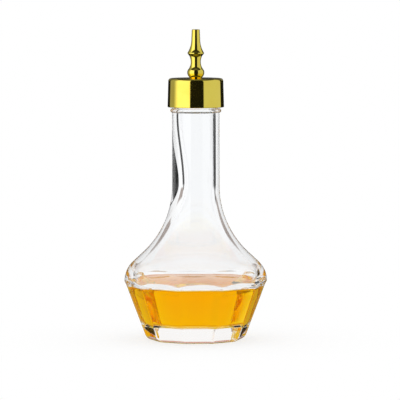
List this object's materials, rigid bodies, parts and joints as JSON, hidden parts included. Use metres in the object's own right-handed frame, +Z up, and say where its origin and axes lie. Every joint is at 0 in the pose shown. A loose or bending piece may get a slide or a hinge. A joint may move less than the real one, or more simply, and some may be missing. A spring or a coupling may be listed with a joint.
{
  "type": "bitters bottle",
  "caption": "Heavy clear glass bitters bottle with a long neck, flared shoulder and panelled tapering body, closed by a gold screw cap with a turned dasher spout.",
  "frame": {"origin": "centre of the foot, on the surface that the bottle stands on", "axes": "+Z up along the bottle's axis; -Y towards the viewer, square to one panel"},
  "size_m": [0.0628, 0.062, 0.1365],
  "materials": {
    "clear_glass": "polished clear flint glass",
    "bitters": "clear amber liquid",
    "gold_metal": "polished gold plate",
    "liner_plastic": "moulded natural white plastic",
    "soft_seal": "translucent white silicone"
  },
  "bodies": {
    "bottle": {"glass_bottle": "clear_glass", "bitters_liquid": "bitters"},
    "seal": {"seal_washer": "soft_seal"},
    "cap": {"cap_shell": "gold_metal", "dasher_spout": "gold_metal", "threaded_liner": "liner_plastic"}
  },
  "joints": [
    {"name": "cap_rise", "type": "slide", "parent": "bottle", "child": "seal", "axis": [0, 0, 1], "range_m": [0, 0.00954]},
    {"name": "cap_turn", "type": "hinge", "parent": "seal", "child": "cap", "pos_m": [0, 0, 0.1024], "axis": [0, 0, 1], "range_deg": [0, 1080]}
  ],
  "couplings": [
    {"joint": "cap_rise", "follows": "cap_turn", "m_per_rad": 0.00050532}
  ]
}
